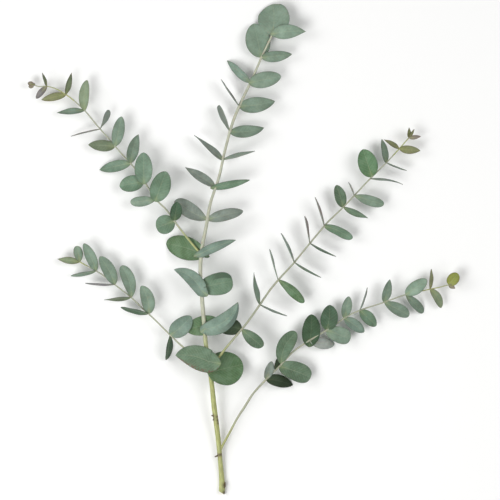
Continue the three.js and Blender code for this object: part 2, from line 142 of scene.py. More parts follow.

# %% [markdown]
# ## Colours
# Colours are given as sRGB hex. Blender mixes light in linear values, so one function turns them,
# with the numbers of the sRGB standard.

# %% Colour helper
def colour(code):
    """An sRGB hex colour as linear red, green, blue and alpha."""
    channels = [int(code[i:i + 2], 16) / 255 for i in (0, 2, 4)]
    return [c / 12.92 if c <= 0.04045 else ((c + 0.055) / 1.055) ** 2.4 for c in channels] + [1.0]


print("middle grey in linear values:", [round(c, 3) for c in colour("808080")[:3]])

# %% [markdown]
# ## Words for a leaf
# A juvenile eucalyptus leaf has almost no stalk. Its outline goes from round, near the foot of the branch, to
# a lance, near the tips. A leaf is described by its tip on the sheet, the tip's height, its width, how far it
# is turned about its midrib (0 is face up, 90 on edge, past 90 shows the underside), its outline and its
# tone. The rest are options. root says where round the stem it grows, from 1 on top to -1 below, and setback
# how far its base reaches back past the stem, in millimetres. sway and arch bow it sideways and upward, as
# shares of its length, twist turns it by so many degrees from base to tip, and keel is the slope of its
# halves beside the midrib. worn marks a margin with torn spots. The last option, 1 or -1, picks the half whose
# far part gets painted shade, as if it were bent over, which the blade's shape does not show.

# %% Leaf words
# An outline is where the leaf is widest and how pointed base and tip are: 0.5 is round, and more is pointed.
ROUND = (0.5, 0.5, 0.5)
OVAL = (0.47, 0.58, 0.6)
OVATE = (0.42, 0.55, 0.85)
POINTED = (0.42, 0.75, 1.1)
LANCE = (0.36, 0.8, 1.4)
BLUNT = (0.58, 0.75, 0.45)
SPOON = (0.7, 1.0, 0.45)
BROAD = (0.62, 0.42, 0.4)

# The colour of a leaf under its bloom, by the name of its tone. The shadow tone is painted shade, a near-black
# green for leaves that lie in the shade of others.
TONES = {
    "plain": "738875", "pale": "7F9682", "cool": "738A7B", "grey": "7E897F", "silver": "8A918B",
    "frost": "A0A6A0", "green": "617D63", "sage": "67816B", "deep": "566F54", "fern": "517048",
    "dark": "3D5A3F", "moss": "2C4A29", "shadow": "23371B", "fresh": "53774F", "olive": "7C8158",
    "dusky": "606E51", "bright": "7F8F70", "pink": "877B79", "mauve": "716C70", "lime": "878F38",
}
# The last usual option paints shade on one half of a leaf; 0 leaves it off.
USUAL = {"root": 0, "setback": 0, "sway": 0, "twist": 0, "keel": 12, "arch": 0.06, "worn": 0, "fold": 0}


def leaf(x, y, height, width, turn, outline, tone="plain", **options):
    return {
        "tip": (x, y, height), "width": width, "turn": turn, "outline": outline, "tone": tone,
        **USUAL, **options,
    }


def pair(x, y, *leaves):
    """The leaves, mostly two, that grow where the stem passes a point of the sheet."""
    return {"at": (x, y), "leaves": leaves}


print("tones of leaf:", len(TONES))

# %% [markdown]
# ## The plan of the leader
# The leader runs from the cut end, at the foot of the sheet, to the round leaf at the top. Each row of its
# points is x, y, height and diameter. Two brown spurs, a twiglet and a dry bract, the four rows in twigs, are
# what older side shoots left behind. A mark is a brown scar, with its x, y, reach and strength.

# %% The leader
LEADER = {
    "points": [
        (221.5, 495, 2.6, 6), (222, 487, 2.6, 6), (221.4, 476, 3, 5), (220, 460, 5, 4.6), (219, 448, 6.8, 5),
        (216.8, 428, 9.8, 5), (214, 406, 13.2, 5), (212, 386, 16.8, 4.6), (209.2, 366, 20, 4.4),
        (206, 345, 21.6, 4.2), (204, 322, 22.5, 4.1), (202.2, 300, 22.9, 4), (200.4, 270, 22.7, 4),
        (202, 248, 22.2, 3.6), (206, 228, 20, 3.3), (210.5, 203, 17.5, 3), (219, 177, 15, 2.8),
        (225, 150, 13, 2.6), (233.5, 120, 11.4, 3), (242, 100, 10.6, 3), (252, 79, 9.8, 2.4),
        (262, 56, 9.2, 2.1), (273, 33, 8.8, 1.9),
    ],
    "pairs": [
        pair(272.8, 33.5, leaf(273, 3.5, 5, 33.5, -18, ROUND, root=-1, setback=1, keel=6, sway=-0.04),
             leaf(306, 31.5, 15, 15, 8, POINTED, "pale", root=1, setback=2, keel=8, sway=0.04)),
        pair(261.5, 57.5, leaf(254, 23, 5.5, 25, 8, OVAL, root=-1, keel=5, arch=0.02),
             leaf(292, 54, 12, 13, 30, OVATE)),
        pair(249, 81.5, leaf(227, 60, 0.35, 12, -46, OVATE, "cool"),
             leaf(281, 76, 12.5, 16.5, 8, OVAL, root=1, setback=2)),
        pair(239, 105.5, leaf(221, 79, 14, 11, 86, OVAL, "mauve", keel=16, sway=0.03),
             leaf(275, 101, 12.5, 16.5, -12, OVATE, sway=-0.04)),
        pair(229.5, 131.5, leaf(219, 105, 11, 12.5, -117, SPOON, "frost"),
             leaf(264, 127.5, 11, 14, -25, OVATE, sway=-0.06)),
        pair(223, 159.5, leaf(194, 135, 12, 11.5, 36, OVAL, "grey", twist=50),
             leaf(255, 151, 16, 10, -115, POINTED, "grey")),
        pair(213.5, 186, leaf(185, 167, 10, 12, 35, POINTED, "grey"),
             leaf(250, 180, 18.5, 9.5, 35, OVATE, "green", root=1, setback=5.5)),
        pair(207, 219.5, leaf(176, 199.5, 11, 17, 20, BLUNT, "grey", sway=0.06),
             leaf(243, 211, 16, 13, -20, OVAL, "grey")),
        pair(201.7, 253.5, leaf(166, 243.5, 0.35, 24, -8, OVAL, "fern", root=-1.1, setback=5, sway=-0.03),
             leaf(236, 240, 25, 10, 5, OVATE, "cool", root=1, setback=8, keel=14, arch=0.02, sway=0.03),
             leaf(209.5, 257, 21, 5, 0, OVAL, "dark", root=-1)),
        pair(202, 291, leaf(174, 269.5, 22, 15.5, 4, OVATE, "cool", root=0.95, setback=8, keel=16, arch=0.02,
                             sway=-0.125)),
        # Painted shade on the far part of one half of this leaf, as if it were bent over.
        pair(201.2, 287, leaf(232.5, 281, 18, 23, 4, BROAD, "green", root=-1, setback=1, fold=1)),
        pair(204.2, 325.5, leaf(186, 329.5, 17, 20, 4, OVAL, "fern", root=-1, setback=17)),
        # Painted shade on the far part of one half of this leaf, as if it were bent over.
        pair(204.5, 329, leaf(238, 302, 27, 18, 6, OVATE, "cool", root=1, setback=5, sway=-0.15, fold=-1)),
        pair(208.6, 361.5, leaf(175.5, 355.5, 15, 25.5, -8, OVATE, "deep", root=1, setback=13, sway=-0.08,
                                worn=1)),
        pair(209.6, 372, leaf(243, 364.5, 11.3, 36, -18, ROUND, "fern", root=1.24, setback=3, keel=2,
                              arch=-0.06)),
    ],
    "twigs": [
        [(215, 416.5, 12, 1.6), (211.3, 415.6, 12.6, 1)],
        [(215, 419, 11.5, 1.6), (212.6, 420.4, 12, 1)],
        [(219, 455.5, 6, 1.6), (214.6, 457.4, 6.6, 0.9)],
        [(221.6, 489, 4, 1.4), (224.6, 487.5, 4.4, 1.2), (225, 482.5, 4.6, 0.8)],
    ],
    "marks": [(217, 455.6, 1.9, 1), (219.5, 455.3, 1.6, 1), (221.2, 455, 1.6, 1), (217.5, 417, 1.5, 0.9),
              (217.8, 420.5, 1.6, 0.9), (218, 423.5, 1.4, 0.7), (213, 416, 1.6, 1), (213, 419.5, 1.6, 1),
              (224.6, 486, 2.5, 0.8), (224.3, 493.5, 2.4, 0.9)],
}
print("leaves on the leader:", sum(len(p["leaves"]) for p in LEADER["pairs"]))

# %% [markdown]
# ## The plans of the side shoots
# Each shoot starts on the leader's axis and ends in a young tip with its own colour. The tip's pairs are
# listed on their own, and tip_from is where it starts. The upper left shoot ends in a closed bud. The upper
# right one has most of its leaves on edge.

# %% Upper left shoot
UPPER_LEFT = {
    "points": [
        (201.8, 254.5, 22.4, 2.2), (197, 249.5, 22.6, 2.1), (189, 240, 22.6, 2), (178, 226, 21, 1.9),
        (166, 209.5, 19.4, 1.8), (156, 199.5, 18, 1.7), (145, 183, 16.5, 1.6), (132, 165, 15, 1.5),
        (120, 152, 14, 1.4), (109, 139, 13, 1.4), (97, 125.5, 12.2, 1.3), (85, 111, 11.5, 1.3),
        (72, 99, 10.8, 1.2), (62, 92, 10.4, 1.1), (54, 88, 10.2, 1.1), (46, 86, 10, 1), (38, 86.2, 10, 1),
        (33, 84.5, 10, 1),
    ],
    "tip_from": (74, 100.6),
    "pairs": [
        pair(174, 221, leaf(177.5, 202, 24, 13, 22, OVAL, "dark", root=0.5),
             leaf(156.5, 228, 17.5, 19.5, 6, ROUND, "green")),
        pair(155.5, 200, leaf(130.5, 202.5, 14, 11, -15, BLUNT),
             leaf(166, 171.5, 20, 20.5, 6, OVAL, "green", root=1, setback=2.5)),
        pair(143.5, 181.5, leaf(119.5, 186, 11.5, 17, 10, OVAL, "green", root=-0.8),
             leaf(143.5, 152.5, 19, 18.5, -4, OVAL, "sage", root=1, setback=3)),
        pair(130.5, 163.3, leaf(99, 169.5, 0.35, 12, 12, OVATE, "sage"),
             leaf(138.5, 134.5, 16, 13, 26, OVATE, sway=0.05)),
        pair(115, 146.3, leaf(88, 144.5, 9, 12, -10, OVATE, "dusky"), leaf(121.5, 116.5, 15, 12.5, 8, OVAL)),
        pair(100, 129, leaf(70.5, 136, 6, 9, 82, OVAL, "pink"),
             leaf(109, 110, 13, 10, 85, BLUNT, "grey", twist=-45)),
        pair(84.5, 110.5, leaf(56.5, 112.5, 9, 9, 42, POINTED),
             leaf(87, 80, 14, 10.5, 5, OVAL, "bright", sway=0.06)),
    ],
    "tip_pairs": [
        pair(65.5, 94.6, leaf(41, 99.5, 7, 8.5, 15, OVATE, "olive"),
             leaf(71.5, 72.5, 13.5, 8, 45, POINTED, "dusky")),
        pair(46.5, 86, leaf(42, 72.5, 12.5, 6, 60, POINTED, "dusky"),
             leaf(35.5, 98, 6.5, 7, 25, OVAL, "mauve")),
        pair(33.5, 84.7, leaf(27.6, 82.6, 11.5, 5, 12, ROUND, "pink"),
             leaf(28.4, 87, 8.9, 4.5, -20, ROUND, "pink")),
    ],
    "bud": {"middle": (31.8, 84.2, 10), "length": 6.5, "diameter": 4},
}

# %% Lower left shoot
LOWER_LEFT = {
    "points": [
        (209.3, 367.5, 17.8, 1.8), (204, 363.5, 17, 1.8), (194, 355.5, 16.4, 1.7), (184, 348, 15.5, 1.7),
        (170, 335, 14.5, 1.6), (155, 320, 13.2, 1.5), (143, 309, 12.3, 1.4), (131, 297.5, 11.5, 1.4),
        (116, 285.8, 10.8, 1.3), (105, 277, 10.3, 1.3), (95, 270.3, 10, 1.2), (86, 265.5, 9.8, 1.1),
        (78.5, 261.3, 9.6, 1.1),
    ],
    "tip_from": (87, 266),
    "pairs": [
        pair(170, 335, leaf(191, 316, 22, 18.5, 8, OVAL, "cool", root=0.6, sway=-0.04),
             leaf(167, 359.5, 0.35, 13, -60, BLUNT, "dark")),
        pair(148.5, 314, leaf(120.5, 307.5, 9.5, 11, -62, OVAL, "dark"),
             leaf(141, 286, 15, 14, 6, OVAL, sway=-0.1)),
        pair(131, 297.5, leaf(104, 300, 9, 10, -64, LANCE, "dusky"),
             leaf(121, 266, 14.5, 13.5, 5, BLUNT, sway=-0.09)),
        pair(114.5, 284.6, leaf(85, 283.3, 8, 9, -75, OVAL, "mauve"),
             leaf(99.5, 256.5, 13, 13.5, 8, OVAL, sway=-0.05)),
        pair(96, 271, leaf(70.5, 276, 7.5, 9, -62, OVAL), leaf(83.5, 243.5, 13, 11, 5, OVAL, sway=-0.03)),
    ],
    "tip_pairs": [
        pair(79.5, 261.8, leaf(57, 259, 8.5, 7.5, 15, POINTED, "bright"),
             leaf(76.5, 246, 11, 10, 20, BLUNT, "pale")),
    ],
}

# %% Upper right shoot
UPPER_RIGHT = {
    "points": [
        (209.8, 368, 20.2, 2.5), (214, 363.3, 21.2, 2.5), (219, 357, 22.2, 2.4), (227, 346.5, 24, 2.3),
        (236, 336, 23.6, 2.2), (246, 324, 21.4, 2.1), (259, 306, 17.6, 2), (270, 290, 15.6, 2),
        (281, 277, 14.6, 1.9), (293, 264, 14, 1.8), (304, 250.5, 13.5, 1.7), (316, 236, 13, 1.7),
        (328, 222, 12.6, 1.6), (341, 209.5, 12.3, 1.5), (354, 196, 12, 1.5), (367, 182, 12, 1.4),
        (379, 170, 12, 1.3), (389, 160, 12, 1.2), (400, 148, 12, 1.1), (410, 136.5, 12, 1),
    ],
    "tip_from": (393, 155.8),
    "pairs": [
        # Painted shade: the first leaf of this pair is painted near-black, in the shadow tone, for the shade it
        # lies in.
        pair(242, 329.5, leaf(214, 322, 20, 18, 0, ROUND, "shadow", root=-1, keel=3, arch=0),
             leaf(262.5, 346.8, 18, 14, 18, BLUNT, "deep")),
        pair(260, 304.5, leaf(254, 272.5, 19, 12, 64, LANCE, sway=0.05),
             leaf(287, 316, 15, 10, 85, OVAL, "grey", keel=20)),
        pair(278.5, 280, leaf(269.5, 249, 17, 10, 86, SPOON, "grey", keel=18, sway=0.02),
             leaf(303.5, 303, 11, 12.5, 38, BLUNT, "fern", sway=0.05)),
        pair(294.5, 262.5, leaf(281, 233, 16, 10, 80, OVAL, "grey", keel=20),
             leaf(321, 277.5, 12, 10, 84, OVAL, "deep", keel=20)),
        pair(310, 243.5, leaf(304.5, 216, 15.5, 10, 79, SPOON, "pink", keel=18),
             leaf(336, 256.5, 11.5, 10, 84, OVAL, "dark", keel=20)),
        pair(324.5, 226, leaf(315, 197, 15, 10, 82, OVAL, "pink", keel=18),
             leaf(352, 239, 9.5, 11.5, 36, BROAD, "green", sway=0.06)),
        pair(343.5, 207.5, leaf(336.5, 185, 15, 13, 24, OVAL, "deep"),
             leaf(368, 218, 9, 11, 55, POINTED, "deep")),
        pair(354.5, 195.5, leaf(348.5, 182, 14.5, 8, 86, OVAL, "pink", keel=18),
             leaf(384, 204.5, 9, 11.5, 22, BLUNT)),
        pair(372, 177, leaf(363, 149.3, 15, 20, 5, OVAL, "fresh")),
        pair(370, 178.8, leaf(403, 184.5, 9.5, 9, 80, LANCE, "grey", keel=20, sway=0.08)),
        pair(386.5, 162.5, leaf(382, 139, 14.5, 10.5, 48, OVATE),
             leaf(407, 170.5, 9, 8, 86, OVAL, "grey", keel=18)),
    ],
    "tip_pairs": [
        pair(399.5, 148.5, leaf(384.5, 139.5, 13, 8, 50, POINTED, "olive"),
             leaf(420.5, 150.5, 10, 9, 20, OVATE, "olive")),
        pair(409, 137.6, leaf(409.3, 127.5, 14, 5, 40, POINTED, "olive"),
             leaf(414.5, 129, 13, 4.5, 50, POINTED, "olive"), leaf(421, 136.3, 10, 5, 30, OVATE, "pink")),
    ],
}

# %% Lower right shoot
LOWER_RIGHT = {
    "points": [
        (219.3, 453.5, 6.3, 2.3), (222.5, 446, 7.3, 2.3), (229, 434, 8.3, 2.2), (237, 419, 9.3, 2.2),
        (245, 406.5, 10, 2.5), (253, 394, 10.5, 2.1), (262, 384, 10.8, 2), (271, 374.5, 11, 1.9),
        (280, 366, 11.2, 1.8), (293, 352, 11.4, 1.8), (306, 342.8, 11.5, 1.7), (320, 334.3, 11.5, 1.6),
        (335, 325, 11.3, 1.5), (347, 316.5, 11.2, 1.5), (360, 310.4, 11, 1.4), (377, 304.8, 10.8, 1.3),
        (392, 299.5, 10.6, 1.3), (406, 294.6, 10.4, 1.2), (420, 291.5, 10.2, 1.1), (430, 289.3, 10, 1.1),
        (441, 287, 9.8, 1), (450, 284.5, 9.7, 1),
    ],
    "tip_from": (423, 290.9),
    "pairs": [
        # Painted shade: the leaves in the shadow tone on the next two lines are painted near-black for the shade
        # they lie in.
        pair(266, 379.5, leaf(272, 361.5, 13.5, 10, 25, OVAL, "grey"),
             leaf(293, 385.5, 0.35, 14, -25, OVATE, "shadow", root=-1, sway=0.03)),
        pair(275.5, 370.5, leaf(278.5, 358.5, 12.5, 8, 45, BLUNT, "shadow")),
        pair(281.5, 364.5, leaf(296.5, 332.5, 15, 17, 12, BLUNT, "deep", sway=0.13)),
        pair(279.5, 366.5, leaf(310.5, 378, 9, 20, -8, BROAD, "deep", sway=0.03)),
        pair(310, 340.5, leaf(311.5, 314.5, 9.5, 19, 6, OVAL, "moss", root=-1, setback=7, sway=-0.03),
             leaf(334.5, 344, 0.35, 12, -12, OVAL, "frost", root=-1, sway=-0.05)),
        pair(326.5, 330.5, leaf(329.5, 305, 15, 18, 4, OVAL, "dark", root=-0.8, sway=-0.05),
             leaf(350.5, 339, 9, 17, -5, BROAD)),
        pair(344.5, 318.4, leaf(349, 296.5, 14, 11, 20, OVAL), leaf(364.5, 332, 8.5, 12, -18, OVAL, "cool")),
        pair(360, 310.5, leaf(367.5, 287.5, 14, 9, 82, OVAL, "silver", keel=18),
             leaf(376.5, 326, 7.5, 13, -20, OVAL, "green")),
        pair(384.5, 302.5, leaf(390, 279.5, 14, 10.5, 28, OVATE), leaf(409.5, 315.5, 7, 13, -15, BLUNT)),
        pair(406, 294.5, leaf(427, 279.5, 13.5, 14, 12, OVAL, "pale"),
             leaf(424, 312.5, 0.35, 10.5, -25, BLUNT)),
    ],
    "tip_pairs": [
        pair(430.5, 289.2, leaf(431.5, 269, 13.5, 9, 62, OVATE, "olive"),
             leaf(441.5, 308, 6.5, 9.5, -25, OVAL, "bright", sway=0.08)),
        pair(449, 284.8, leaf(458, 273.5, 12.5, 12, 0, ROUND, "lime"),
             leaf(455.5, 288.5, 8.5, 5, 35, OVATE, "pink")),
    ],
}
SHOOTS = {
    "upper_left": UPPER_LEFT, "lower_left": LOWER_LEFT,
    "upper_right": UPPER_RIGHT, "lower_right": LOWER_RIGHT,
}
print("pairs on the shoots:", [len(shoot["pairs"] + shoot["tip_pairs"]) for shoot in SHOOTS.values()])

# %% [markdown]
# ## The blade
# A real blade is a thin, leathery sheet, folded a little along the midrib, and its margin is never quite
# flat. A plane with a bend modifier could make one leaf, but each of these has its own bow, turn and twist.
# So a grid is laid over the formulas: rows along the midrib, columns across, closest at the midrib and the
# margin. One or two soft waves run along each margin, drawn at random from a fixed seed, so every run gives
# the same leaves.

# %% The blade's middle sheet
ROOT_WIDTH, TIP_WIDTH = 1.6, 0.35  # the least width at either end, in millimetres
SINK = 0.25  # how deep a root is sunk into the stem
OVER_STEM = 0.45  # how much higher a leaf starts that lies across the stem
LEAST_ROWS, ROW_SPACING = 22, 3
LEFT_HALF = np.array([-1, -0.975, -0.9, -0.77, -0.6, -0.42, -0.26, -0.13, -0.05])
ACROSS = np.concatenate([LEFT_HALF, [0], -LEFT_HALF[::-1]])
FOLD_ROUNDING = 0.3
LEAST_WAVES = 1.2
WAVE_HEIGHT = 0.018  # of the margin, as a share of the blade's width
CALMER_SIDE = 0.7
draw = random.Random(20)


def half_widths(blade, shares):
    """Half of the blade's width at each share of its length."""
    widest, base, tip = blade["outline"]
    near_base = shares < widest
    to_end = np.where(near_base, 1 - shares / widest, (shares - widest) / (1 - widest))
    full = np.maximum(1 - to_end**2, 0) ** np.where(near_base, base, tip)
    least = ROOT_WIDTH + (TIP_WIDTH - ROOT_WIDTH) * shares
    return np.maximum(blade["width"] * full, least) / 2


def blade_sheet(blade, stem, at):
    """A blade's middle sheet as a grid of points, with each row's share of the length and the distances on it."""
    t = stem.nearest(*at)
    in_front = OVER_STEM if blade["root"] > 0 and blade["setback"] else 0
    root = stem.at(t) + UP * (blade["root"] * (stem.radius(t) - SINK) + in_front)
    tip = on_branch(*blade["tip"])
    start = root - unit(tip - root) * blade["setback"]
    length = np.linalg.norm(tip - start)
    chord_side, chord_up = directions_across(unit(tip - start))

    def midrib(shares):
        reach = length - blade["setback"]
        past = np.maximum(0, (shares * length - blade["setback"]) / reach)
        bow = (4 * past * (1 - past) * reach)[:, None]
        bow_towards = chord_up * blade["arch"] + chord_side * blade["sway"]
        return start + (tip - start) * shares[:, None] + bow * bow_towards

    rows = LEAST_ROWS + int(length / ROW_SPACING)
    shares = (1 - np.cos(np.pi * np.arange(rows + 1) / rows)) / 2
    travel = unit(midrib(shares + SMALL_STEP) - midrib(shares - SMALL_STEP))
    side, up = directions_across(travel)
    turn = np.radians(blade["turn"] + blade["twist"] * shares)[:, None]
    across = side * np.cos(turn) + up * np.sin(turn)
    normal = np.cross(travel, across)
    keel = math.radians(blade["keel"])
    offset = half_widths(blade, shares)[:, None] * ACROSS
    rise = np.sqrt((offset * math.sin(keel)) ** 2 + FOLD_ROUNDING**2) - FOLD_ROUNDING
    waves, phase, other_phase = LEAST_WAVES + draw.random(), draw.random(), draw.random()
    margin = np.abs(ACROSS) ** 3 * np.where(ACROSS < 0, 1.0, CALMER_SIDE)
    swing = np.sin(2 * np.pi * (waves * shares[:, None] + np.where(ACROSS < 0, phase, other_phase)))
    rise = rise + WAVE_HEIGHT * blade["width"] * margin * swing * np.sin(np.pi * shares[:, None])
    points = midrib(shares)[:, None] + across[:, None] * (offset * math.cos(keel))[..., None]
    points = points + normal[:, None] * rise[..., None]
    along = np.broadcast_to((shares * length)[:, None], offset.shape)
    return points, shares, along, offset


print("columns across a blade:", len(ACROSS))

# %% [markdown]
# ## The two faces of a blade
# The middle sheet gets an upper and a lower face, and a strip of faces round the margin closes them. Solidify
# could do that, but not thin the blade toward its margin or draw the midrib as a groove above and a ridge
# below. No point goes below the surface that the branch lies on.

# %% The blade's faces
HALF_THICKNESS, MARGIN_THINNING = 0.28, 0.65
RIB_HALF_WIDTH, RIB_FADE = 0.55, 0.8
RIB_GROOVE, RIB_RIDGE = 0.1, 0.28
LEAST_UNDERSIDE, LEAST_TOP = 0.02, 0.3  # heights over the surface, in millimetres
TONE_SPREAD = 0.1


def quads(*corners):
    """Faces of four corners, from four arrays of point numbers."""
    return np.stack([c.ravel() for c in corners], 1)


def blade_shell(blade, stem, at):
    """A closed blade: its points, its faces and what the finish needs to know at each point."""
    points, shares, along, offset = blade_sheet(blade, stem, at)
    count = offset.size
    normals = unit(np.cross(np.gradient(points, axis=0), np.gradient(points, axis=1)))
    thin = HALF_THICKNESS * (1 - MARGIN_THINNING * np.abs(ACROSS) ** 6)
    rib = np.exp(-((offset / RIB_HALF_WIDTH) ** 2)) * (1 - RIB_FADE * shares[:, None])
    upper = points + normals * (thin - RIB_GROOVE * rib)[..., None]
    lower = points - normals * (thin + RIB_RIDGE * rib)[..., None]
    lower[..., 2] = np.maximum(lower[..., 2], LEAST_UNDERSIDE)
    upper[..., 2] = np.maximum(upper[..., 2], LEAST_TOP)
    over = np.arange(count).reshape(offset.shape)
    under = over + count
    edge = np.concatenate([over[:, 0], over[-1, 1:], over[-2::-1, -1], over[0, -2:0:-1]])
    following = np.roll(edge, -1)
    faces = np.concatenate([
        quads(over[:-1, :-1], over[1:, :-1], over[1:, 1:], over[:-1, 1:]),
        quads(under[:-1, 1:], under[1:, 1:], under[1:, :-1], under[:-1, :-1]),
        quads(following, edge, edge + count, following + count),
    ])
    own_number = draw.random()
    half = half_widths(blade, shares)[:, None]
    place = np.stack(np.broadcast_arrays(shares[:, None], ACROSS, own_number), -1).reshape(-1, 3)
    span = np.stack(np.broadcast_arrays(along, offset, half), -1).reshape(-1, 3)
    lighter = 1 + TONE_SPREAD * (draw.random() - 0.5)
    tone = np.array(colour(TONES[blade["tone"]])) * lighter
    return {
        "points": np.concatenate([upper.reshape(-1, 3), lower.reshape(-1, 3)]), "faces": faces,
        "blade": np.tile(place, (2, 1)), "span": np.tile(span, (2, 1)), "tone": np.tile(tone, (2 * count, 1)),
        "upper_face": np.repeat([1.0, 0.0], count),
        # The second of these attributes says which half of the leaf gets painted shade.
        **{key: np.full(2 * count, float(blade[key])) for key in ("worn", "fold")},
    }


print("a blade is", 2 * HALF_THICKNESS, "mm thick beside its midrib")

# %% [markdown]
# ## From points to pieces
# All the blades of a stem become one piece, because on the plant they hang on one twig. What the finish needs
# to know is stored on the mesh as attributes, which stay with the points in any view: blade holds the share
# of the way along, the place across from -1 to 1 and a number of the leaf's own, and span holds the same two
# places in millimetres and half the width there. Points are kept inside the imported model's box.

# %% Points to pieces
KINDS = {1: ("FLOAT", "value"), 3: ("FLOAT_VECTOR", "vector"), 4: ("FLOAT_COLOR", "color")}


def piece(name, parts, finish, node):
    """One smooth mesh object from several closed parts, riding on the branch and standing for its solid."""
    first = np.cumsum([0] + [len(p["points"]) for p in parts])
    points = np.concatenate([p["points"] for p in parts]) * MM
    points = np.clip(points, np.array(cad_low), np.array(cad_high))
    faces = [f for p, start in zip(parts, first) for f in (p["faces"] + start).tolist()]
    faces = [[v for i, v in enumerate(f) if v != f[i - 1]] for f in faces]  # a corner given twice becomes one
    mesh = bpy.data.meshes.new(name)
    mesh.from_pydata(points.tolist(), [], faces)
    for key in parts[0]:
        if key in ("points", "faces"):
            continue
        values = np.concatenate([p[key] for p in parts])
        kind, data_name = KINDS[1 if values.ndim == 1 else values.shape[1]]
        data = mesh.attributes.new(key, kind, "POINT").data
        data.foreach_set(data_name, values.astype(np.float32).ravel())
    mesh.shade_smooth()
    mesh.materials.append(finish)
    made = bpy.data.objects.new(name, mesh)
    bpy.context.scene.collection.objects.link(made)
    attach(made, "root")
    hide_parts(node)
    print(f"{name}: {len(points)} points")


# %% [markdown]
# ## The twig
# A young eucalyptus twig is smooth, a little waxy and not quite round. It swells where a pair of leaves
# grows, with a faint ring just past it. A bevelled curve can't swell at chosen places, so rings of points are
# swept along the line. The branch was cut off at a slant, and the cut is closed with a pale disc of wood
# inside a ring of bark. All other ends are closed too, and rounded where nothing goes on from them.

# %% The twig's rings
TWIG_SIDES, LENGTH_STEPS = 18, 60
LEAST_RINGS, RING_SPACING = 6, 0.9
SWELL, SWELL_REACH = 0.1, 1.3  # as a share of the radius, and in millimetres along
SCAR_RISE, SCAR_PAST, SCAR_REACH, SCAR_BROWN = 0.04, 1.1, 0.35, 0.35  # the faint ring past a pair
OVAL_SHARE, SQUARE_SHARE, OVAL_TURN = 0.025, 0.015, 14
BLUNTEST = 0.2
CUT_SLANT, CUT_REACH = 3.0, 6.0
angles = 2 * np.pi * np.arange(TWIG_SIDES) / TWIG_SIDES


def twig_ring(stem, t, gone, left, near, on_scar, slant):
    """A ring of points: swollen at a pair, not quite round, rounded off near an end and slanting at the cut."""
    radius = stem.radius(t) * (1 + SWELL * near + SCAR_RISE * on_scar)
    radius = radius * (1 + OVAL_SHARE * np.cos(2 * angles + gone / OVAL_TURN) + SQUARE_SHARE * np.cos(4 * angles))
    radius = radius * math.sqrt(min(1, BLUNTEST + left / stem.radius(t)))
    travel = unit(stem.at(min(t + SMALL_STEP, 1)) - stem.at(max(t - SMALL_STEP, 0)))
    side, up = directions_across(travel)
    ring = stem.at(t) + radius[:, None] * (side * np.cos(angles)[:, None] + up * np.sin(angles)[:, None])
    return ring + travel * (slant * (1 + np.cos(angles)) / 2)[:, None]


def closeness(gone, places, reach):
    """From 0 to 1: how close a distance along the twig is to the nearest of some places."""
    return max((math.exp(-(((gone - place) / reach) ** 2)) for place in places), default=0)


print("a ring of", TWIG_SIDES, "points every", RING_SPACING, "mm of twig")

# %% The twig's ends
CAP_RINGS = (0.8, 0.45, 0.1, 0)


def close_end(shell, rim, wood, flipped):
    """Closes an open end of a twig with ever smaller rings of points, the last of them a single point."""
    outer = rim
    middle = shell["points"][rim].mean(0)
    spread = shell["points"][rim] - middle
    for share in CAP_RINGS:
        added = rim if share else rim[:1]
        inner = np.broadcast_to(len(shell["points"]) + np.arange(len(added)), TWIG_SIDES)
        corners = [outer, np.roll(outer, -1), np.roll(inner, -1), inner]
        more = {
            "points": middle + spread[:len(added)] * share,
            "faces": quads(*(corners[::-1] if flipped else corners)),
            "run": shell["run"][added], "mark": shell["mark"][added], "wood": np.full(len(added), wood),
        }
        for key in shell:
            shell[key] = np.concatenate([shell[key], more[key]])
        outer = inner


print("rings in a closed end:", len(CAP_RINGS))

# %% A whole twig
def twig(stem, start, end, pairs=(), marks=(), brown=0.0, cut=False, blunt=True):
    """A closed, tapering twig along a stem's line, with a swelling at each pair."""
    steps = np.linspace(start, end, LENGTH_STEPS)
    gaps = [np.linalg.norm(stem.at(b) - stem.at(a)) for a, b in zip(steps, steps[1:])]
    run = np.concatenate([[0], np.cumsum(gaps)])
    rings = max(LEAST_RINGS, int(run[-1] / RING_SPACING))
    places = np.interp(np.linspace(0, run[-1], rings + 1), run, steps)
    grown = [t for t in (stem.nearest(*p["at"]) for p in pairs) if start <= t <= end]
    swell_at = np.interp(grown, steps, run)
    points, where, marked = [], [], []
    for t in places:
        gone = np.interp(t, steps, run)
        left = run[-1] - gone if blunt else math.inf
        on_scar = closeness(gone, swell_at + SCAR_PAST, SCAR_REACH)
        slant = CUT_SLANT * max(0, 1 - gone / CUT_REACH) if cut else 0
        ring = twig_ring(stem, t, gone, left, closeness(gone, swell_at, SWELL_REACH), on_scar, slant)
        spots = np.full(TWIG_SIDES, max(brown, SCAR_BROWN * on_scar))
        for x, y, reach, strength in marks:
            away = np.linalg.norm(ring[:, :2] - on_branch(x, y, 0)[:2], axis=1)
            spots = np.maximum(spots, strength * np.exp(-((away / reach) ** 2)))
        points.append(ring)
        where.append(np.stack(np.broadcast_arrays(gone, angles, 0.0), 1))  # the third number is spare
        marked.append(spots)
    grid = np.arange(len(places) * TWIG_SIDES).reshape(-1, TWIG_SIDES)
    after = np.roll(grid, -1, axis=1)
    shell = {
        "points": np.concatenate(points), "faces": quads(grid[:-1], after[:-1], after[1:], grid[1:]),
        "run": np.concatenate(where), "mark": np.concatenate(marked), "wood": np.zeros(grid.size),
    }
    close_end(shell, grid[0], wood=float(cut), flipped=True)
    close_end(shell, grid[-1], wood=0.0, flipped=False)
    shell["points"][:, 2] = np.maximum(shell["points"][:, 2], 0.0)
    return shell


print("a twig has at least", LEAST_RINGS, "rings")

# %% [markdown]
# ## Nodes
# One small function adds any node. It takes the node's kind, its inputs, each a value or another node's
# output, and its settings, and gives back its outputs. Another makes an empty finish, with put, the first one
# tied to it.

